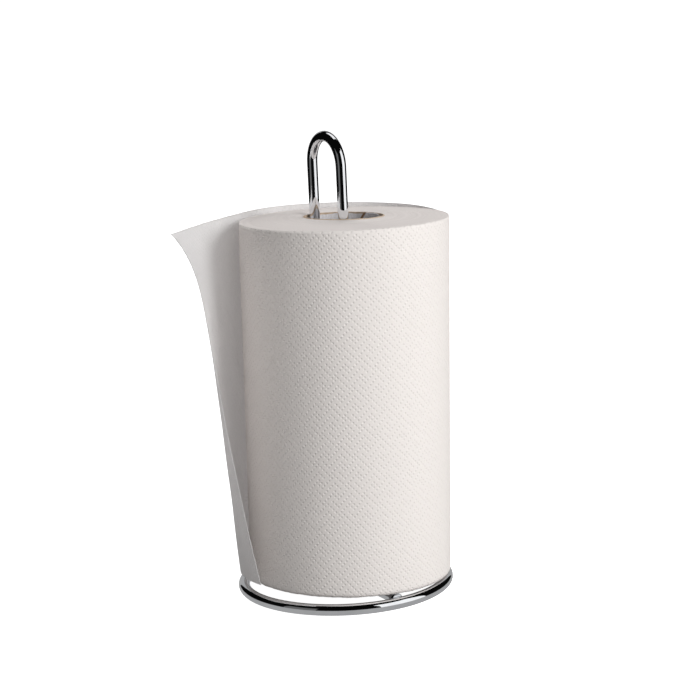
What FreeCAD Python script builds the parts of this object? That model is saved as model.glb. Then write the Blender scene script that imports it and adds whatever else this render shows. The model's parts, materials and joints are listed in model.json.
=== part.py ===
"""Freestanding paper towel holder with a part-used roll on it.

A wire ring stands on the table. A hairpin loop of thinner wire rises from its middle,
and each leg turns out at the foot into a spoke that is coped and welded to the ring.
The roll's cardboard core drops over the loop. The roll leans to +Y until its core meets
the legs, and its outermost sheet hangs loose. Millimetres; the loop lies in the XZ plane.
"""
import FreeCAD, Part
import math
import os
import PartDesign
import Sketcher

os.makedirs("parts", exist_ok=True)
doc = FreeCAD.newDocument("paper_towel_holder")

# ---------------------------------------------------------------- driving dimensions
DIMENSIONS = [
    # stand
    ("ring_radius", 64.25, "base ring, centreline radius"),
    ("ring_wire", 7.1, "base ring, wire diameter"),
    ("loop_wire", 6.5, "upright loop, wire diameter"),
    ("leg_spacing", 35.2, "between the two legs' centrelines"),
    ("overall_height", 287.6, "table to the top of the loop"),
    ("bend_radius", 8.0, "foot bend, centreline radius"),
    ("spoke_level", 5.4, "spoke centreline above the table"),
    ("spoke_tip", 62.5, "how far a spoke runs out before it is coped"),
    ("weld_length", 2.6, "weld collar along the spoke"),
    ("weld_leg", 1.1, "weld collar, height on the spoke"),
    ("weld_drop", 0.6, "collar axis below the spoke axis, so that its top stays low"),
    ("weld_toe", 0.15, "least thickness of the collar at its thin end"),
    # roll
    ("roll_height", 225.0, "width of the paper web"),
    ("roll_foot_radius", 63.5, "wound paper, at the bottom"),
    ("roll_top_radius", 64.8, "wound paper, at the top, where it is looser"),
    ("core_bore", 24.2, "inside radius of the cardboard core"),
    ("ply_thickness", 0.6, "one cardboard ply"),
    ("running_gap", 0.05, "between the two core plies"),
    ("roll_lean", 1.776, "degrees that the roll leans towards +Y"),
    ("roll_shift", 3.6, "roll axis off the ring's centre at the roll's bottom"),
    ("roll_rest", 9.3, "roll's bottom above the table, on its axis"),
    # loose outermost sheet
    ("sheet_thickness", 0.6, "embossed sheet, over its bumps"),
    ("sheet_gap", 0.05, "between the sheet and the wound paper"),
    ("sheet_raise", 3.5, "how far the sheet has slipped up the roll"),
    ("sheet_start", 85.0, "degrees round the roll where it comes loose"),
    ("sheet_leave", 210.0, "degrees where it turns away from the roll"),
]

dims = doc.addObject("Spreadsheet::Sheet", "dims")
for row, (alias, value, note) in enumerate(DIMENSIONS, start=1):
    dims.set("A%d" % row, alias)
    dims.set("B%d" % row, str(value))
    dims.set("C%d" % row, note)
    dims.setAlias("B%d" % row, alias)
doc.recompute()


def bind(thing, **formulas):
    """Set expressions; a double underscore in a name stands for a dot."""
    for name, formula in formulas.items():
        thing.setExpression(name.replace("__", "."), formula)


def origin_plane(body, role):
    return [part for part in body.Origin.OriginFeatures if part.Role == role][0]


# ---------------------------------------------------------------- base ring
ring = doc.addObject("Part::Torus", "base_ring")
bind(
    ring,
    Radius1="dims.ring_radius",
    Radius2="dims.ring_wire / 2",
    Placement__Base__z="dims.ring_wire / 2",
)

# ---------------------------------------------------------------- upright loop
loop_body = doc.addObject("PartDesign::Body", "loop_wire_body")

path = loop_body.newObject("Sketcher::SketchObject", "loop_path")
path.AttachmentSupport = [(origin_plane(loop_body, "XZ_Plane"), "")]
path.MapMode = "FlatFace"

half = dims.leg_spacing / 2
foot = dims.spoke_level
bend = dims.bend_radius
reach = dims.spoke_tip
arch = dims.overall_height - dims.loop_wire / 2 - half
UP = FreeCAD.Vector(0, 0, 1)


def point(x, y):
    return FreeCAD.Vector(x, y, 0)


def arc(x, y, radius, first, last):
    circle = Part.Circle(point(x, y), UP, radius)
    return Part.ArcOfCircle(circle, math.radians(first), math.radians(last))


# Edges 0 to 6, from the left spoke's tip over the arch to the right spoke's tip.
path.addGeometry(Part.LineSegment(point(-reach, foot), point(-half - bend, foot)))
path.addGeometry(arc(-half - bend, foot + bend, bend, 270, 360))
path.addGeometry(Part.LineSegment(point(-half, foot + bend), point(-half, arch)))
path.addGeometry(arc(0, arch, half, 0, 180))
path.addGeometry(Part.LineSegment(point(half, arch), point(half, foot + bend)))
path.addGeometry(arc(half + bend, foot + bend, bend, 180, 270))
path.addGeometry(Part.LineSegment(point(half + bend, foot), point(reach, foot)))

START, END, CENTRE = 1, 2, 3
ORIGIN = -1
path.addConstraint(Sketcher.Constraint("Tangent", 0, END, 1, START))
path.addConstraint(Sketcher.Constraint("Tangent", 1, END, 2, START))
path.addConstraint(Sketcher.Constraint("Tangent", 2, END, 3, END))
path.addConstraint(Sketcher.Constraint("Tangent", 3, START, 4, START))
path.addConstraint(Sketcher.Constraint("Tangent", 4, END, 5, START))
path.addConstraint(Sketcher.Constraint("Tangent", 5, END, 6, START))
path.addConstraint(Sketcher.Constraint("Horizontal", 0))
path.addConstraint(Sketcher.Constraint("Horizontal", 6))
path.addConstraint(Sketcher.Constraint("Vertical", 2))
path.addConstraint(Sketcher.Constraint("Vertical", 4))
path.addConstraint(Sketcher.Constraint("PointOnObject", 3, CENTRE, -2))
path.addConstraint(Sketcher.Constraint("Equal", 1, 5))


def dimension(sketch, name, formula, *terms):
    index = sketch.addConstraint(Sketcher.Constraint(*terms))
    sketch.renameConstraint(index, name)
    sketch.setExpression("Constraints." + name, formula)


dimension(path, "arch_radius", "dims.leg_spacing / 2", "Radius", 3, half)
dimension(path, "bend_radius", "dims.bend_radius", "Radius", 1, bend)
dimension(
    path,
    "arch_level",
    "dims.overall_height - dims.loop_wire / 2 - dims.leg_spacing / 2",
    "DistanceY", ORIGIN, START, 3, CENTRE, arch,
)
dimension(path, "left_foot", "dims.spoke_level", "DistanceY", ORIGIN, START, 0, START, foot)
dimension(path, "right_foot", "dims.spoke_level", "DistanceY", ORIGIN, START, 6, END, foot)
dimension(path, "left_tip", "dims.spoke_tip", "DistanceX", 0, START, ORIGIN, START, reach)
dimension(path, "right_tip", "dims.spoke_tip", "DistanceX", ORIGIN, START, 6, END, reach)

section = loop_body.newObject("Sketcher::SketchObject", "loop_section")
section.AttachmentSupport = [(origin_plane(loop_body, "YZ_Plane"), "")]
section.MapMode = "FlatFace"
bind(section, AttachmentOffset__Base__z="-dims.spoke_tip")
section.addGeometry(Part.Circle(point(0, foot), UP, dims.loop_wire / 2))
section.addConstraint(Sketcher.Constraint("PointOnObject", 0, CENTRE, -2))
dimension(section, "wire_radius", "dims.loop_wire / 2", "Radius", 0, dims.loop_wire / 2)
dimension(section, "level", "dims.spoke_level", "DistanceY", ORIGIN, START, 0, CENTRE, foot)
doc.recompute()

wire = loop_body.newObject("PartDesign::AdditivePipe", "loop_pipe")
wire.Profile = section
wire.Spine = (path, ["Edge%d" % (edge + 1) for edge in range(path.GeometryCount)])
wire.Transition = "Transformed"
doc.recompute()

loop = doc.addObject("Part::Cut", "upright_loop")
loop.Base = loop_body
loop.Tool = ring

# ---------------------------------------------------------------- weld collars
# One flared collar round each spoke where it meets the ring.
collar = doc.addObject("Part::Cone", "weld_collar_blank")
bind(
    collar,
    Radius1="dims.loop_wire / 2 + dims.weld_drop + dims.weld_toe",
    Radius2="dims.loop_wire / 2 + dims.weld_leg",
    Height="dims.weld_length",
    Placement__Base__x="dims.ring_radius - dims.ring_wire / 2 - dims.weld_length + 0.5",
    Placement__Base__z="dims.spoke_level - dims.weld_drop",
)
collar.Placement.Rotation = FreeCAD.Rotation(FreeCAD.Vector(0, 1, 0), 90)

stand_wires = doc.addObject("Part::Fuse", "stand_wires")
stand_wires.Base = loop_body
stand_wires.Tool = ring

near_weld = doc.addObject("Part::Cut", "near_weld")
near_weld.Base = collar
near_weld.Tool = stand_wires

far_weld = doc.addObject("Part::Mirroring", "far_weld")
far_weld.Source = near_weld
far_weld.Normal = FreeCAD.Vector(1, 0, 0)

welds = doc.addObject("Part::Compound", "weld_beads")
welds.Links = [near_weld, far_weld]


# ---------------------------------------------------------------- roll
def lean(thing):
    """Stand a piece made on the Z axis on the roll's own leaning axis."""
    bind(
        thing,
        Placement__Base__y="dims.roll_shift",
        Placement__Base__z="dims.roll_rest",
        Placement__Rotation__Angle="-dims.roll_lean",
    )
    thing.Placement.Rotation = FreeCAD.Rotation(FreeCAD.Vector(1, 0, 0), -dims.roll_lean)


def cylinder(name, radius):
    rod = doc.addObject("Part::Cylinder", name)
    bind(rod, Radius=radius, Height="dims.roll_height")
    return rod


def bored(name, blank, bore):
    piece = doc.addObject("Part::Cut", name)
    piece.Base = blank
    piece.Tool = bore
    lean(piece)
    return piece


inner_radius = "dims.core_bore + dims.ply_thickness"
seat_radius = "dims.core_bore + dims.ply_thickness + dims.running_gap"
core_radius = "dims.core_bore + 2 * dims.ply_thickness + dims.running_gap"

inner_ply = bored(
    "core_inner_ply",
    cylinder("inner_ply_blank", inner_radius),
    cylinder("inner_ply_bore", "dims.core_bore"),
)
outer_ply = bored(
    "core_outer_ply",
    cylinder("outer_ply_blank", core_radius),
    cylinder("outer_ply_bore", seat_radius),
)

paper_blank = doc.addObject("Part::Cone", "paper_blank")
bind(
    paper_blank,
    Radius1="dims.roll_foot_radius",
    Radius2="dims.roll_top_radius",
    Height="dims.roll_height",
)
paper = bored("wound_paper", paper_blank, cylinder("paper_bore", core_radius))

# ---------------------------------------------------------------- loose sheet
# Plan sections up the sheet: how far up it, the radius it still has over the roll, and
# the radius and length of its free part. It flares most at its top corner.
SHEET_SECTIONS = [
    (0.0, 67.6, 70.0, 80.5),
    (0.5, 69.6, 110.0, 86.0),
    (0.8, 70.9, 153.0, 90.0),
    (1.0, 71.7, 458.0, 92.0),
]


def polar(centre, radius, degrees):
    angle = math.radians(degrees)
    return centre + FreeCAD.Vector(math.cos(angle), math.sin(angle), 0) * radius


def band_side(spans, offset):
    """Start, middle and end point of each arc of one face of the band."""
    return [
        [polar(centre, radius + offset, turn) for turn in (first, (first + last) / 2, last)]
        for centre, radius, first, last in spans
    ]


def sheet_section(up, wrap_radius, free_radius, free_length):
    """A closed band: an arc over the roll, then a tangent arc that runs free."""
    level = dims.sheet_raise + up * dims.roll_height
    growth = (dims.roll_top_radius - dims.roll_foot_radius) / dims.roll_height
    roll_here = dims.roll_foot_radius + growth * level
    start_radius = roll_here + dims.sheet_gap + dims.sheet_thickness / 2
    axis = FreeCAD.Vector(0, 0, level)
    wrap_centre = polar(axis, start_radius - wrap_radius, dims.sheet_start)
    free_centre = polar(wrap_centre, wrap_radius - free_radius, dims.sheet_leave)
    finish = dims.sheet_leave + math.degrees(free_length / free_radius)
    spans = [
        (wrap_centre, wrap_radius, dims.sheet_start, dims.sheet_leave),
        (free_centre, free_radius, dims.sheet_leave, finish),
    ]
    outside = band_side(spans, dims.sheet_thickness / 2)
    inside = [points[::-1] for points in reversed(band_side(spans, -dims.sheet_thickness / 2))]
    edges = [Part.Arc(*points).toShape() for points in outside]
    edges.append(Part.makeLine(outside[-1][-1], inside[0][0]))
    edges += [Part.Arc(*points).toShape() for points in inside]
    edges.append(Part.makeLine(inside[-1][-1], outside[0][0]))
    return Part.Wire(edges)


sheet = doc.addObject("Part::Feature", "loose_sheet")
sheet.Shape = Part.makeLoft([sheet_section(*values) for values in SHEET_SECTIONS], True, False)
lean(sheet)

doc.recompute()

# ---------------------------------------------------------------- check and write
nodes = [ring, loop, welds, inner_ply, outer_ply, paper, sheet]
for node in nodes:
    node.Label = node.Name

for thing in doc.Objects:
    if "Invalid" in thing.State or "Error" in thing.State:
        raise RuntimeError(thing.Name + " did not recompute")
for node in nodes:
    if node.Shape.isNull() or not node.Shape.isValid():
        raise RuntimeError(node.Name + " has no valid shape")
    node.Shape.exportStep("parts/%s.step" % node.Label)
    print(node.Label, len(node.Shape.Solids), "solid(s), %.0f mm3" % node.Shape.Volume)
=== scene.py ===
import json
import math

import bpy
import numpy as np
from mathutils import Matrix, Vector


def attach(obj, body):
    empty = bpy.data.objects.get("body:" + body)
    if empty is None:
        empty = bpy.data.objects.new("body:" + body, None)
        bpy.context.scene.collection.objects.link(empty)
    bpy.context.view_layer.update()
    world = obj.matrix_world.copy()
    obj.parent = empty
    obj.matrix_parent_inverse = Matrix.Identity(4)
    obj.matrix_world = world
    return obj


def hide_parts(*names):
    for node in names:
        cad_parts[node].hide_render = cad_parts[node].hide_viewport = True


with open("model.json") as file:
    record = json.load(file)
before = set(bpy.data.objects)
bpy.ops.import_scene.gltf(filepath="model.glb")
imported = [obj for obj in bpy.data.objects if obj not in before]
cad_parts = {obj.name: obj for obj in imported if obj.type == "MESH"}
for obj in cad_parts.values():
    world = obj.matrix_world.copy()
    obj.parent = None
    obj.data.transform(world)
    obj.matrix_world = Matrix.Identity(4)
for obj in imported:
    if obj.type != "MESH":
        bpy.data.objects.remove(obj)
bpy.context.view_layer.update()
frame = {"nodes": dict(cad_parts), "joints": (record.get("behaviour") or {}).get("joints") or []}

MM = 0.001

# ------------------------------------------------------------------ camera
CAMERA_PLACE = (1.25135, -0.70952, 0.45048)
CAMERA_YAW, CAMERA_PITCH, CAMERA_ROLL = 60.08, -11.77, -2.61  # degrees
LENS, SENSOR = 121.84, 36.0  # millimetres
FLOOR_RADIUS = 30.0


def turned(degrees, axis):
    return Matrix.Rotation(math.radians(degrees), 4, axis)


def make_camera():
    data = bpy.data.cameras.new("camera")
    data.sensor_width = SENSOR
    data.lens = LENS
    data.clip_end = 2 * FLOOR_RADIUS
    camera = bpy.data.objects.new("camera", data)
    bpy.context.scene.collection.objects.link(camera)
    aim = turned(CAMERA_YAW, "Z") @ turned(90 + CAMERA_PITCH, "X") @ turned(CAMERA_ROLL, "Z")
    camera.matrix_world = Matrix.Translation(CAMERA_PLACE) @ aim
    bpy.context.scene.camera = camera


make_camera()

# ------------------------------------------------------------------ the roll's own frame
SPIN = [joint for joint in frame["joints"] if joint["name"] == "roll_spin"][0]
ROLL_FOOT = np.array(SPIN["pos_m"], float)
ROLL_UP = np.array(SPIN["axis"], float)
ROLL_UP /= np.linalg.norm(ROLL_UP)
ROLL_X = np.array([1.0, 0.0, 0.0])
ROLL_Y = np.cross(ROLL_UP, ROLL_X)
ROLL_LEAN = math.atan2(ROLL_UP[1], ROLL_UP[2])


def to_row(local):
    """Points of the roll's frame, in metres, as points of the row frame."""
    local = np.asarray(local, float)
    x, y, z = local[..., :1], local[..., 1:2], local[..., 2:]
    return ROLL_FOOT + x * ROLL_X + y * ROLL_Y + z * ROLL_UP


def roll_profile(node):
    """Height of a round CAD node, its bore, and its outside radius at the foot and the top."""
    points = np.array([tuple(v.co) for v in frame["nodes"][node].data.vertices]) - ROLL_FOOT
    height = points @ ROLL_UP
    radius = np.hypot(points @ ROLL_X, points @ ROLL_Y)
    top = height.max()
    low = radius[height < 0.01 * top]
    high = radius[height > 0.99 * top]
    return top, radius.min(), low.max(), high.max()


ROLL_HEIGHT, ROLL_BORE, FOOT_RADIUS, TOP_RADIUS = roll_profile("wound_paper")
CORE_HEIGHT, CORE_BORE, LINING_RADIUS, _ = roll_profile("core_inner_ply")
BOARD_HEIGHT, BOARD_BORE, _, _ = roll_profile("core_outer_ply")

PLY = 0.3 * MM  # one web, two tissue layers pressed together
WINDING = 0.55 * MM  # spacing of the faint lines on the roll's top face
WEB_START = 85.0  # degrees round the roll where the last perforation lies

# The core's top end is pressed in over its lining, just clear of the loop, and cut askew:
# it stands highest on the side TIP_SIDE of the roll.
LIP = CORE_BORE - 0.1 * MM
LIP_WALL, LIP_DEPTH = 0.35 * MM, 0.5 * MM
TIP, TIP_SIDE = 0.95 * MM, math.radians(-30)

# The roll's outer windings stand lower than the loose sheet, most of all at the back left.
SINK_MEAN, SINK_TILT, SINK_SIDE = 1.6 * MM, 1.8 * MM, math.radians(195)


def sink(angle):
    """How far the outer windings stand below the loose sheet's top edge."""
    return SINK_MEAN + SINK_TILT * np.cos(angle - SINK_SIDE)


def wound_radius(height):
    return FOOT_RADIUS + (TOP_RADIUS - FOOT_RADIUS) * height / ROLL_HEIGHT


# ------------------------------------------------------------------ node materials
class Shader:
    """A material with a Principled surface, and short calls that add nodes to it."""

    def __init__(self, name):
        self.material = bpy.data.materials.new(name)
        self.material.use_nodes = True
        self.tree = self.material.node_tree
        self.surface = self.tree.nodes["Principled BSDF"]

    def wire(self, value, socket):
        if isinstance(value, bpy.types.NodeSocket):
            self.tree.links.new(value, socket)
        elif value is not None:
            socket.default_value = value

    def node(self, kind, inputs=(), **settings):
        node = self.tree.nodes.new(kind)
        for name, value in settings.items():
            setattr(node, name, value)
        for key, value in dict(inputs).items():
            self.wire(value, node.inputs[key])
        return node

    def math(self, operation, first, second=None, third=None):
        node = self.node("ShaderNodeMath", operation=operation)
        for index, value in enumerate((first, second, third)):
            self.wire(value, node.inputs[index])
        return node.outputs[0]

    def noise(self, scale, vector, detail=2.0, rough=0.5):
        inputs = {"Vector": vector, "Scale": scale, "Detail": detail, "Roughness": rough}
        return self.node("ShaderNodeTexNoise", inputs).outputs["Fac"]

    def ramp(self, value, low, high, out_low=0.0, out_high=1.0):
        inputs = {0: value, 1: low, 2: high, 3: out_low, 4: out_high}
        return self.node("ShaderNodeMapRange", inputs, interpolation_type="SMOOTHSTEP").outputs[0]

    def mix(self, factor, first, second):
        node = self.node("ShaderNodeMix", data_type="RGBA")
        self.wire(factor, node.inputs["Factor"])
        for key, value in (("A", first), ("B", second)):
            socket = isinstance(value, bpy.types.NodeSocket)
            self.wire(value if socket else (*value, 1.0), node.inputs[key])
        return node.outputs["Result"]

    def bump(self, height, distance, strength=1.0):
        inputs = {"Height": height, "Distance": distance, "Strength": strength}
        return self.node("ShaderNodeBump", inputs).outputs["Normal"]

    def object_point(self):
        return self.node("ShaderNodeTexCoord").outputs["Object"]

    def done(self, colour, normal, roughness, **sockets):
        self.wire(colour, self.surface.inputs["Base Color"])
        self.wire(normal, self.surface.inputs["Normal"])
        self.wire(roughness, self.surface.inputs["Roughness"])
        for name, value in sockets.items():
            self.surface.inputs[name.replace("_", " ")].default_value = value
        return self.material


WEB_UNIT = 500.0  # millimetres in one unit of the "web" UV map
STEP_ACROSS, STEP_UP = 1.60, 1.62  # millimetres between rows of sites, across and up the web
SITES, SITE_TURN = 39.0, -5.0  # the pattern's period, and its shift from one slant to the next
DIMPLE_FLAT, DIMPLE_EDGE = 0.2, 0.9  # millimetres from a dimple's middle


def emboss(s):
    """How pressed in the web is, 0 to 1. Dimples stand on two slanting lattices, half a step
    apart, that repeat every 39 sites; the sites left bare make the pattern."""
    web = s.node("ShaderNodeUVMap", uv_map="web").outputs[0]
    split = s.node("ShaderNodeSeparateXYZ", {0: web})
    across = s.math("MULTIPLY", split.outputs[0], WEB_UNIT / STEP_ACROSS)
    along = s.math("MULTIPLY", split.outputs[1], WEB_UNIT / STEP_UP)

    def dimples(shift, centre, lines):
        falling = s.math("MULTIPLY_ADD", s.math("SUBTRACT", across, along), 0.5, shift)
        rising = s.math("MULTIPLY_ADD", s.math("ADD", across, along), 0.5, shift)
        site_f, site_r = s.math("ROUND", falling), s.math("ROUND", rising)
        off_f, off_r = s.math("SUBTRACT", falling, site_f), s.math("SUBTRACT", rising, site_r)
        dx = s.math("MULTIPLY", s.math("ADD", off_f, off_r), STEP_ACROSS)
        dy = s.math("MULTIPLY", s.math("SUBTRACT", off_r, off_f), STEP_UP)
        far = s.math("SQRT", s.math("ADD", s.math("POWER", dx, 2.0), s.math("POWER", dy, 2.0)))
        place = s.math("MULTIPLY_ADD", site_r, SITE_TURN, site_f)
        place = s.math("FLOORED_MODULO", place, SITES)
        place = s.math("ABSOLUTE", s.math("SUBTRACT", place, centre))
        filled = 0.0
        for middle, reach in lines:
            filled = s.math("MAXIMUM", filled, s.math("COMPARE", place, middle, reach))
        return s.math("MULTIPLY", s.ramp(far, DIMPLE_FLAT, DIMPLE_EDGE, 1.0, 0.0), filled)

    # Each line of filled sites: its middle, and how many sites it reaches to either side.
    crosses = dimples(0.0, 18.5, ((19.5, 3.2), (2.5, 1.2), (6.5, 0.2), (11.5, 0.2)))
    hooks = dimples(0.5, 16.5, ((11.5, 1.2), (7.5, 0.2), (2.5, 0.2)))
    return s.math("MAXIMUM", crosses, hooks)


def towel(name, light, dark, depth, through=0.0):
    """Tissue: embossed, with painted shade in its dimples, a soft fibre grain and slow changes
    of tone; a single loose layer lets some light through."""
    s = Shader(name)
    point = s.object_point()
    pressed = emboss(s)
    cloud = s.noise(28.0, point, 3.0)
    fibre = s.noise(1900.0, point, 2.0, 0.7)
    # Painted shade: the pressed-in dimples are also drawn darker in the colour, besides their
    # bump; the cloud gives slow random changes of tone.
    tone = s.math("MULTIPLY_ADD", pressed, 0.3, s.math("MULTIPLY", cloud, 0.45))
    colour = s.mix(tone, light, dark)
    relief = s.math("MULTIPLY_ADD", pressed, -1.0, s.math("MULTIPLY", fibre, 0.22))
    rough = s.ramp(fibre, 0.2, 0.8, 0.88, 0.98)
    normal = s.bump(relief, depth)
    if through:
        behind = s.node("ShaderNodeBsdfTranslucent", {"Color": colour, "Normal": normal})
        layers = {0: through, 1: s.surface.outputs[0], 2: behind.outputs[0]}
        both = s.node("ShaderNodeMixShader", layers)
        output = s.tree.nodes["Material Output"]
        s.wire(both.outputs[0], output.inputs["Surface"])
    return s.done(colour, normal, rough, Specular_IOR_Level=0.18)


def polar(s):
    """Radius in mm, turns round the roll's axis and height in m, for a point of the roll."""
    terms = {0: s.object_point(), 1: tuple(-ROLL_FOOT)}
    moved = s.node("ShaderNodeVectorMath", terms, operation="ADD")
    level = s.node(
        "ShaderNodeVectorRotate",
        {"Vector": moved.outputs[0], "Angle": ROLL_LEAN},
        rotation_type="X_AXIS",
    )
    split = s.node("ShaderNodeSeparateXYZ", {0: level.outputs[0]})
    x, y = split.outputs[0], split.outputs[1]
    radius = s.math("SQRT", s.math("ADD", s.math("POWER", x, 2.0), s.math("POWER", y, 2.0)))
    turns = s.math("DIVIDE", s.math("ARCTAN2", y, x), math.tau)
    return s.math("MULTIPLY", radius, 1 / MM), turns, split.outputs[2]


def wound_edge():
    """The cut edges of many windings, seen end on."""
    s = Shader("wound_edge")
    radius, turns, _ = polar(s)
    winding = s.math("SUBTRACT", s.math("DIVIDE", radius, WINDING / MM), turns)
    on_line = s.node("ShaderNodeCombineXYZ", {0: winding}).outputs[0]
    coarse = s.noise(0.16, on_line, 2.0)
    fine = s.noise(0.9, on_line, 2.0, 0.7)
    fibre = s.noise(1500.0, s.object_point(), 2.0, 0.7)
    tone = s.math("MULTIPLY_ADD", fine, 0.5, s.math("MULTIPLY", coarse, 0.5))
    colour = s.mix(s.ramp(tone, 0.3, 0.7), (0.82, 0.768, 0.742), (0.88, 0.825, 0.80))
    relief = s.math("ADD", s.math("MULTIPLY", fine, 0.6), s.math("MULTIPLY", fibre, 0.4))
    return s.done(colour, s.bump(relief, 0.25 * MM, 0.6), 0.95, Specular_IOR_Level=0.1)


HELIX = 9.0  # turns of the board's spiral seam in one metre
SEAM = 0.012  # half the width of that seam, in turns
FRAY = (0.002, 0.005)  # where a frayed end fades out, in units of the "web" UV map


def cardboard(name, light, dark, torn=None):
    """Spiral-wound board; torn is the colour of a frayed end, where the web map begins."""
    s = Shader(name)
    _, turns, height = polar(s)
    helix = s.math("MULTIPLY_ADD", height, HELIX, turns)
    seam = s.math("PINGPONG", helix, 0.5)
    seam_line = s.ramp(seam, 0.0, SEAM, 1.0, 0.0)
    fibre = s.noise(900.0, s.object_point(), 3.0, 0.65)
    speck = s.noise(320.0, s.object_point(), 1.0)
    tone = s.math("MULTIPLY_ADD", fibre, 0.7, s.math("MULTIPLY", speck, 0.3))
    colour = s.mix(s.ramp(tone, 0.3, 0.7), dark, light)
    colour = s.mix(s.math("MULTIPLY", seam_line, 0.5), colour, dark)
    if torn:
        web = s.node("ShaderNodeUVMap", uv_map="web").outputs[0]
        across = s.node("ShaderNodeSeparateXYZ", {0: web}).outputs[0]
        colour = s.mix(s.ramp(across, *FRAY, 1.0, 0.0), colour, torn)
    relief = s.math("SUBTRACT", fibre, seam_line)
    return s.done(colour, s.bump(relief, 0.12 * MM, 0.8), 0.9, Specular_IOR_Level=0.2)


def chrome(name, light, dark, polish, dull, ripple):
    """Plated wire: clean reflections with faint ripples and handling marks."""
    s = Shader(name)
    point = s.object_point()
    haze = s.noise(55.0, point, 3.0)
    mark = s.noise(420.0, point, 2.0, 0.6)
    colour = s.mix(s.ramp(haze, 0.3, 0.7), light, dark)
    rough = s.ramp(s.math("MULTIPLY", haze, mark), 0.15, 0.5, polish, dull)
    normal = s.bump(s.noise(75.0, point, 1.0), ripple)
    return s.done(colour, normal, rough, Metallic=1.0)


ROLL_PAPER = towel("towel_web", (0.89, 0.842, 0.81), (0.835, 0.79, 0.76), 0.25 * MM)
SHEET_PAPER = towel("towel_sheet", (0.90, 0.887, 0.884), (0.86, 0.847, 0.843), 0.14 * MM, 0.45)
WOUND_EDGE = wound_edge()
LINING = cardboard("grey_lining", (0.78, 0.76, 0.78), (0.58, 0.56, 0.57), (0.22, 0.13, 0.07))
KRAFT = cardboard("kraft_board", (0.70, 0.57, 0.45), (0.52, 0.40, 0.29))

BRIGHT_PLATE, DULL_PLATE = (0.86, 0.87, 0.89), (0.78, 0.79, 0.81)
PLATED = {
    "base_ring": chrome("ring_plate", BRIGHT_PLATE, DULL_PLATE, 0.02, 0.07, 0.02 * MM),
    "upright_loop": chrome("loop_plate", BRIGHT_PLATE, DULL_PLATE, 0.02, 0.06, 0.015 * MM),
    "weld_beads": chrome(
        "weld_plate", (0.74, 0.75, 0.77), (0.60, 0.61, 0.63), 0.10, 0.30, 0.25 * MM
    ),
}
for node, material in PLATED.items():
    for holder in frame["nodes"][node].material_slots:
        holder.material = material


# ------------------------------------------------------------------ mesh building
def add_piece(name, points, faces, web, materials, slots=None):
    mesh = bpy.data.meshes.new(name)
    mesh.from_pydata(points.tolist(), [], faces.tolist())
    for material in materials:
        mesh.materials.append(material)
    corners = np.empty(len(mesh.loops), int)
    mesh.loops.foreach_get("vertex_index", corners)
    layer = mesh.uv_layers.new(name="web")
    layer.data.foreach_set("uv", (web[corners] / (WEB_UNIT * MM)).ravel())
    mesh.polygons.foreach_set("use_smooth", [True] * len(mesh.polygons))
    if slots is not None:
        mesh.polygons.foreach_set("material_index", slots.tolist())
    mesh.validate()
    mesh.update()
    piece = bpy.data.objects.new(name, mesh)
    bpy.context.scene.collection.objects.link(piece)
    return piece


def grid_faces(index):
    """Quads between neighbours of a 2-D array of vertex numbers."""
    corners = (index[:-1, :-1], index[1:, :-1], index[1:, 1:], index[:-1, 1:])
    return np.stack(corners, -1).reshape(-1, 4)


def shell(name, middle, thickness, web, materials):
    """A closed thin sheet around a grid of middle points (rows, columns, 3). Thickness is
    one value, or one for each row."""
    up = np.gradient(middle, axis=0)
    along = np.gradient(middle, axis=1)
    normal = np.cross(along, up)
    normal /= np.linalg.norm(normal, axis=2, keepdims=True)
    half = normal * np.asarray(thickness)[..., None] / 2
    rows, columns = middle.shape[:2]
    count = rows * columns
    front = np.arange(count).reshape(rows, columns)
    back = front + count
    edge = np.concatenate([front[0], front[1:, -1], front[-1, -2::-1], front[-2::-1, 0]])
    rim = np.stack([edge, edge + count], 1)
    faces = np.concatenate([grid_faces(front.T), grid_faces(back), grid_faces(rim)])
    points = np.concatenate([middle + half, middle - half]).reshape(-1, 3)
    return add_piece(name, points, faces, np.tile(web.reshape(-1, 2), (2, 1)), materials)


def soft_noise(places, seed, harmonics, fall=1.0):
    """Smooth random wave of period 1, mostly between -1 and 1."""
    draw = np.random.default_rng(seed)
    value = np.zeros(np.shape(places))
    total = 0.0
    for k in harmonics:
        size = 1.0 / k**fall
        value += size * np.sin(math.tau * (k * places + draw.random()))
        total += size * size
    return value / math.sqrt(total)


# ------------------------------------------------------------------ wound paper
ROUND_OVER, GIVE = 0.5 * MM, 0.8  # soft edge of the cut web, and how much of it is rounded off
SAG, RAGGED = 0.15 * MM, 0.132 * MM  # the foot's rim hangs down unevenly from the saw cut
UNEVEN = 0.14 * MM  # slow waves of the side
DISHED, LINES, PROUD_FROM = 0.15 * MM, 0.09 * MM, 0.985  # top face, its lines, its proud rim
LINE_PERIOD = 72.0  # windings after which the lines on the top face repeat
LIP_GAP = 0.04 * MM  # between the paper and the core's pressed-in end
LIFTED_TO, LIFT_FADE, SUNK_FADE = 34 * MM, 8 * MM, 26 * MM  # radii on the top face


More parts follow.
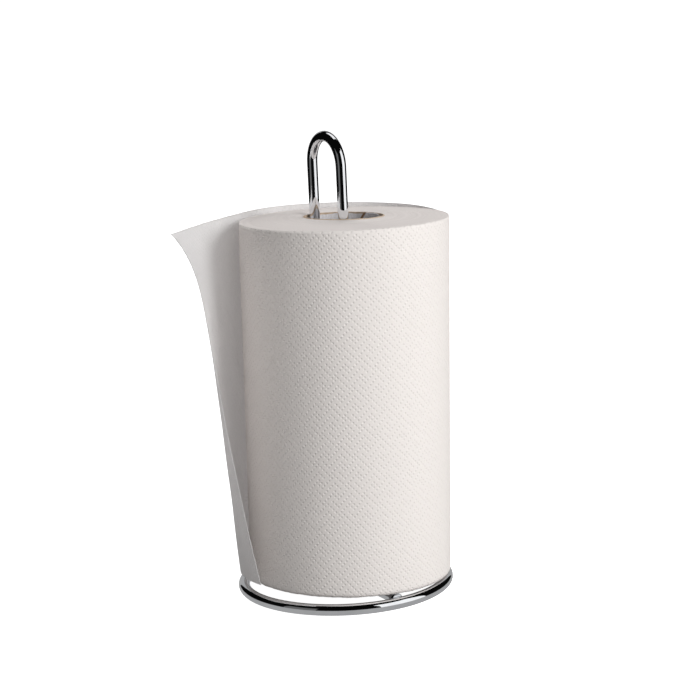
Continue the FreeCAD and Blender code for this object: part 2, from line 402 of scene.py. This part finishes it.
def make_roll():
    columns = 720
    turn = np.arange(columns + 1) / columns
    angle = np.radians(WEB_START) + math.tau * turn

    # Half section, as shares of the wound thickness and of the height: out under the roll
    # (part 0), up its side (1), in over the top (2) and down beside the core's end (3).
    section = [(out, 0.0, 0) for out in np.linspace(0, 1, 14)[:-1]]
    section += [(1.0, up, 1) for up in np.linspace(0, 1, 130)]
    section += [(out, 1.0, 2) for out in np.linspace(1, 0, 76)[1:]]
    section += [(0.0, 1.0, 3)]
    share, level, part = (np.array(values) for values in zip(*section))
    foot, side, top = level == 0.0, part == 1, part == 2

    outer = wound_radius(level * ROLL_HEIGHT)
    radius = np.tile(ROLL_BORE + (outer - ROLL_BORE) * share, (columns + 1, 1))
    height = np.tile(level * ROLL_HEIGHT, (columns + 1, 1))

    # The web winds outward, so the side grows by one ply from where the last sheet leaves it.
    radius -= PLY * (1 - turn)[:, None] * share
    # Rounded rims.
    inside = np.clip(height, 0, ROUND_OVER) + np.clip(ROLL_HEIGHT - height, 0, ROUND_OVER)
    inside -= ROUND_OVER
    cut = ROUND_OVER - np.sqrt(np.clip(inside * (2 * ROUND_OVER - inside), 0, None))
    radius[:, side] -= GIVE * cut[:, side]
    # The ragged foot and the slightly uneven side.
    ragged = RAGGED * soft_noise(turn, 3, (7, 11, 19, 31, 47, 83), 0.3)
    height[:, foot] += ((ragged[:, None] - SAG) * share**6)[:, foot]
    wave = UNEVEN * soft_noise(turn, 5, (2, 3, 5, 8, 13), 0.6)[:, None]
    sway = soft_noise(level * 0.5, 8, (1, 2, 3), 0.5)
    radius += wave * sway * (part > 0) * share**8
    # The top face, with faint lines of its windings; it begins at the core's end.
    winding = (radius - ROLL_BORE) / WINDING - turn[:, None]
    relief = soft_noise(winding / LINE_PERIOD, 21, (2, 3, 5, 8, 11, 14), 0.55)
    radius[:, top] += (LIP + LIP_WALL + LIP_GAP - ROLL_BORE) * (1 - share[top])
    height[:, top] += LINES * relief[:, top] - DISHED * (share[top] <= PROUD_FROM)
    # Near the core the paper is askew with it; further out the windings have sunk.
    near_core = np.clip((LIFTED_TO - radius) / LIFT_FADE, 0, 1)
    near_core = near_core**2 * (3 - 2 * near_core)
    height += (part > 1) * TIP * np.cos(angle - TIP_SIDE)[:, None] * near_core
    height[:, part == 3] -= LIP_DEPTH
    sunk = np.clip((radius - LIFTED_TO) / SUNK_FADE, 0, 1) * top + side * level**4
    height -= sink(angle)[:, None] * sunk
    points = np.stack(
        [radius * np.cos(angle)[:, None], radius * np.sin(angle)[:, None], height], -1
    )

    rows = len(section)
    index = np.arange((columns + 1) * rows).reshape(columns + 1, rows)
    closed = np.concatenate([index, index[:, :1]], 1)
    # The step of one ply between the last column and the first.
    seam = grid_faces(np.stack([closed[-1], closed[0]]))
    faces = np.concatenate([grid_faces(closed), seam])
    slots = np.tile(np.append(np.where(side[:-1] & side[1:], 0, 1), 1), columns)
    slots = np.concatenate([slots, np.ones(len(seam), int)])
    web = np.stack([radius * (angle - angle[0])[:, None], height], -1)
    return add_piece(
        "roll_paper", to_row(points).reshape(-1, 3), faces, web.reshape(-1, 2),
        [ROLL_PAPER, WOUND_EDGE], slots,
    )


roll = make_roll()
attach(roll, "roll")
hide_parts("wound_paper")


# ------------------------------------------------------------------ loose sheet
# The sheet follows a widening arc round the back of the roll, then turns away and hangs
# free; it curls tightly at its foot and flares at its top corner. First number at the
# foot, second at the top; millimetres, degrees and curvature per millimetre.
SHEET_WRAP = (66.51, 66.24)
SHEET_LEAVE = (185.07, 211.60)
SHEET_CURL = (0.01322, 0.00153)
SHEET_FREE = (115.56, 106.73)
SHEET_LIFT = 5.22  # how far the free foot corner has risen
CORNER_SHARE, CORNER_POWER = 0.216, 12.27  # the part of the curl that opens at the top only
CURL_FALL = 0.446  # the curl's fall along the free part, as a share
TORN, TEETH, TOOTH = 0.22, 46, 0.35  # torn edge: spread, number and length of its teeth
CLIMB = 32  # length over which the top edge climbs clear of the sunken windings
LOOSENING = 60  # length over which the free sheet starts to ripple


def make_sheet():
    rows, columns = 301, 241
    up = np.linspace(0, 1, rows)[:, None]
    share = np.linspace(0, 1, columns)[None, :]

    def between(pair, weight):
        return pair[0] + (pair[1] - pair[0]) * weight

    start = math.radians(WEB_START)
    start_radius = wound_radius(up * ROLL_HEIGHT) / MM - PLY / MM / 2
    wrap = between(SHEET_WRAP, up)
    leave = np.radians(between(SHEET_LEAVE, up))
    curl = between(SHEET_CURL, (1 - CORNER_SHARE) * up + CORNER_SHARE * up**CORNER_POWER)
    free_length = between(SHEET_FREE, up)
    held = wrap * (leave - start)
    # The torn perforation: short tabs with fibres pulled out between them.
    draw = np.random.default_rng(17)
    tabs = draw.normal(0, TORN, (rows, 1))
    teeth = TOOTH * np.abs((up * TEETH) % 1.0 - 0.5) ** 0.6
    length = held + free_length + tabs + teeth

    travel = share * length
    round_angle = start + np.minimum(travel, held) / wrap
    free = np.maximum(travel - held, 0)
    x = (start_radius - wrap) * math.cos(start) + wrap * np.cos(round_angle)
    y = (start_radius - wrap) * math.sin(start) + wrap * np.sin(round_angle)
    part = free / free_length
    bend = free - CURL_FALL * free_length * (part**2 / 2 - part / 2)
    heading = leave + math.pi / 2 + curl * bend
    middle = (heading[:, 1:] + heading[:, :-1]) / 2
    step = np.diff(free, axis=1)
    x[:, 1:] += np.cumsum(np.cos(middle) * step, axis=1)
    y[:, 1:] += np.cumsum(np.sin(middle) * step, axis=1)

    # The foot lifts as the sheet slants away. At its perforation the top edge is still level
    # with the sunken windings, and climbs from there.
    z = up * ROLL_HEIGHT / MM + SHEET_LIFT * share**3 * (1 - up)
    z -= sink(start) / MM * up**4 * np.clip(1 - travel / CLIMB, 0, 1) ** 1.5
    # The limp paper keeps a faint ripple.
    ripple = soft_noise(up * 0.6 + travel * 0.004, 4, (1, 2, 3, 5), 0.8) * 0.35
    ripple += soft_noise(up * 0.35 - travel * 0.006, 6, (3, 5, 7), 0.5) * 0.12
    ripple *= np.clip(free / LOOSENING, 0, 1)
    x += np.cos(heading - math.pi / 2) * ripple
    y += np.sin(heading - math.pi / 2) * ripple
    points = np.stack([x, y, z], -1) * MM
    web = np.stack([travel * MM, z * MM], -1)
    return shell("hanging_sheet", to_row(points), PLY, web, [SHEET_PAPER]), length


sheet, sheet_lengths = make_sheet()
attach(sheet, "roll")
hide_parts("loose_sheet")


# ------------------------------------------------------------------ core lining
SPLIT, TWIST = math.radians(112.0), 40.0  # the free end at the top, and radians per metre down
SPRUNG, SPRUNG_TURN, SPRUNG_DEPTH = 4.6 * MM, 0.14, 45 * MM  # how far, how wide, how deep
BELOW_LIP = 0.15 * MM  # room left under the core's pressed-in end, so that the roll can turn
REACH, CLEAR_FROM, CLEAR_AT = 1.3 * MM, 0.9 * MM, 1.5 * MM  # of the part that is inside the lip
EDGE_WAVE, EDGE_DROP, WALL_WAVE = 0.18 * MM, 0.2 * MM, 0.05 * MM
SLACK = 0.9  # the lining's thickness as a share of the CAD ply's
CORE_WEB = 0.15  # metres round the core in its "web" UV map


def make_lining():
    """The inner ply of the core, whose end has sprung loose at the top."""
    columns, rows = 360, 90
    turn = np.linspace(0, 1, columns)[None, :]
    level = (1 - (1 - np.linspace(0, 1, rows)) ** 1.6)[:, None]
    full = CORE_HEIGHT - TIP - LIP_DEPTH - BELOW_LIP
    height = level * full
    from_top = full - height
    angle = SPLIT + TWIST * from_top - math.tau * turn
    spring = np.clip(1 - turn / SPRUNG_TURN, 0, 1) ** 1.7
    spring = spring * np.clip(1 - from_top / SPRUNG_DEPTH, 0, 1) ** 1.5
    radius = (LINING_RADIUS + CORE_BORE) / 2 - SPRUNG * spring
    radius = radius + WALL_WAVE * soft_noise(turn, 12, (2, 3, 5))
    rim = EDGE_WAVE * soft_noise(turn, 9, (5, 9, 17, 33), 0.3) - EDGE_DROP
    # The sprung part stands clear inside the pressed-in board, so it may reach higher.
    clear = np.clip((SPRUNG * spring - CLEAR_FROM) / (CLEAR_AT - CLEAR_FROM), 0, 1)
    height = height + (rim + REACH * clear) * level**8
    points = np.stack([radius * np.cos(angle), radius * np.sin(angle), height], -1)
    web = np.stack([np.broadcast_to(turn * CORE_WEB, height.shape), height], -1)
    thickness = SLACK * (LINING_RADIUS - CORE_BORE)
    return shell("core_lining_ply", to_row(points), thickness, web, [LINING])


lining = make_lining()
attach(lining, "core")
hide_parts("core_inner_ply")


# ------------------------------------------------------------------ core board
BOARD_GAP, BOARD_FILL = 0.05 * MM, 0.95  # to the wound paper, and share of the space filled
ASKEW_DEPTH, ASKEW_WAVE = 30 * MM, 0.05 * MM


def make_board():
    """The outer ply of the core, its top end pressed inward over the lining."""
    inner, outer = BOARD_BORE, ROLL_BORE - BOARD_GAP
    columns, rows = 361, 100
    turn = np.linspace(0, 1, columns)[None, :]
    angle = math.tau * turn
    from_top = ((1 - np.linspace(0, 1, rows)) ** 2.6)[:, None] * BOARD_HEIGHT
    askew = TIP * np.cos(angle - TIP_SIDE)
    askew = askew + ASKEW_WAVE * soft_noise(turn, 33, (9, 17, 29), 0.3)
    height = BOARD_HEIGHT - from_top + askew * np.clip(1 - from_top / ASKEW_DEPTH, 0, 1)
    pressed = np.clip(1 - from_top / LIP_DEPTH, 0, 1) ** 1.5
    thickness = (outer - inner) * BOARD_FILL * (1 - pressed) + LIP_WALL * pressed
    middle = (outer + inner) / 2 * (1 - pressed) + (LIP + LIP_WALL / 2) * pressed
    points = np.stack([middle * np.cos(angle), middle * np.sin(angle), height], -1)
    web = np.stack([np.broadcast_to(turn * CORE_WEB, height.shape), height], -1)
    return shell("core_board_ply", to_row(points), thickness, web, [KRAFT])


board = make_board()
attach(board, "roll")
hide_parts("core_outer_ply")


# ------------------------------------------------------------------ studio
MIDDLE = Vector((0, 0, 0.16))
CARD_DISTANCE = 1.7
AMBIENT, AMBIENT_IN_CHROME = 0.215, 0.012  # the world's light, and the share chrome mirrors


def around(bearing, rise, distance):
    """A place round the object: bearing in degrees to the right of the camera's side."""
    azimuth = math.radians(CAMERA_YAW + bearing)
    lift = math.radians(rise)
    flat = distance * math.cos(lift)
    x, y = flat * math.sin(azimuth), -flat * math.cos(azimuth)
    return MIDDLE + Vector((x, y, distance * math.sin(lift)))


def glow(name, strength, diffuse=(0, 0, 0)):
    """A white emitting material, with a matt share where diffuse is given."""
    material = bpy.data.materials.new(name)
    material.use_nodes = True
    surface = material.node_tree.nodes["Principled BSDF"]
    surface.inputs["Base Color"].default_value = (*diffuse, 1)
    surface.inputs["Roughness"].default_value = 1
    surface.inputs["Specular IOR Level"].default_value = 0
    surface.inputs["Emission Color"].default_value = (1, 1, 1, 1)
    surface.inputs["Emission Strength"].default_value = strength
    return material


def staged(name, points, faces, material, seen_by):
    """A studio piece that only the named kinds of ray see."""
    mesh = bpy.data.meshes.new(name)
    mesh.from_pydata(points, [], faces)
    mesh.materials.append(material)
    thing = bpy.data.objects.new(name, mesh)
    bpy.context.scene.collection.objects.link(thing)
    for kind in ("camera", "diffuse", "glossy", "transmission", "shadow", "volume_scatter"):
        setattr(thing, "visible_" + kind, kind in seen_by)


def disc(name, radius, level, material, seen_by):
    steps = 96
    ring = [
        (radius * math.cos(math.tau * i / steps), radius * math.sin(math.tau * i / steps), level)
        for i in range(steps)
    ]
    staged(name, ring, [list(range(steps))], material, seen_by)


def card(name, bearings, rises, strength):
    """A curved reflector that only the chrome sees."""
    columns, rows = 24, 12
    points = []
    for j in range(rows + 1):
        rise = rises[0] + (rises[1] - rises[0]) * j / rows
        for i in range(columns + 1):
            bearing = bearings[0] + (bearings[1] - bearings[0]) * i / columns
            points.append(tuple(around(bearing, rise, CARD_DISTANCE)))
    faces = []
    for j in range(rows):
        for i in range(columns):
            corner = j * (columns + 1) + i
            faces.append([corner, corner + 1, corner + columns + 2, corner + columns + 1])
    staged(name, points, faces, glow(name, strength), ("glossy",))


def area_light(name, bearing, rise, distance, size, power):
    """A round lamp aimed at the object, unseen by the camera and the chrome."""
    data = bpy.data.lights.new(name, "AREA")
    data.shape = "DISK"
    data.size = size
    data.energy = power
    light = bpy.data.objects.new(name, data)
    bpy.context.scene.collection.objects.link(light)
    place = around(bearing, rise, distance)
    light.location = place
    light.rotation_mode = "QUATERNION"
    light.rotation_quaternion = (place - MIDDLE).to_track_quat("Z", "Y")
    light.visible_glossy = False
    light.visible_camera = False


# The floor is pale to the camera, greyer to the paper, and small and dim to the chrome.
disc("floor", FLOOR_RADIUS, 0.0, glow("floor_white", 0.92, (0.8, 0.8, 0.8)), ("camera",))
disc("floor_bounce", 1.2, -0.0004, glow("floor_grey", 0.05, (0.4, 0.4, 0.4)), ("diffuse",))
disc("floor_mirrored", 0.26, -0.0008, glow("floor_dim", 0.40), ("glossy",))

# Name, bearing, rise, distance, size, power.
area_light("key", 58, 20, 1.8, 1.1, 20.5)
area_light("front", 22, 15, 1.8, 1.3, 7.5)
area_light("fill", -150, 10, 1.8, 0.8, 19)
area_light("overhead", 180, 72, 1.6, 0.8, 6)

# Name, bearings, rises, brightness.
card("soft_box", (35, 89), (-35, 47), 1.07)
card("side_panel", (-68, -32), (-35, 30), 0.14)
card("top_box", (135, 215), (50, 86), 1.0)
card("rear_panel", (150, 210), (-20, 30), 0.40)


def make_world():
    """White to the camera, soft grey light for the rest, and almost black in the chrome."""
    world = bpy.data.worlds.new("studio")
    bpy.context.scene.world = world
    world.use_nodes = True
    tree = world.node_tree
    background = tree.nodes["Background"]
    path = tree.nodes.new("ShaderNodeLightPath")
    seen = tree.nodes.new("ShaderNodeMapRange")
    tree.links.new(path.outputs["Is Camera Ray"], seen.inputs[0])
    seen.inputs[3].default_value, seen.inputs[4].default_value = AMBIENT, 1.0
    dark = tree.nodes.new("ShaderNodeMapRange")
    tree.links.new(path.outputs["Is Glossy Ray"], dark.inputs[0])
    dark.inputs[3].default_value, dark.inputs[4].default_value = 1.0, AMBIENT_IN_CHROME
    level = tree.nodes.new("ShaderNodeMath")
    level.operation = "MULTIPLY"
    tree.links.new(seen.outputs[0], level.inputs[0])
    tree.links.new(dark.outputs[0], level.inputs[1])
    tree.links.new(level.outputs[0], background.inputs["Strength"])
    background.inputs["Color"].default_value = (1, 1, 1, 1)


make_world()
bpy.context.scene.view_settings.view_transform = "Standard"

bpy.context.view_layer.update()
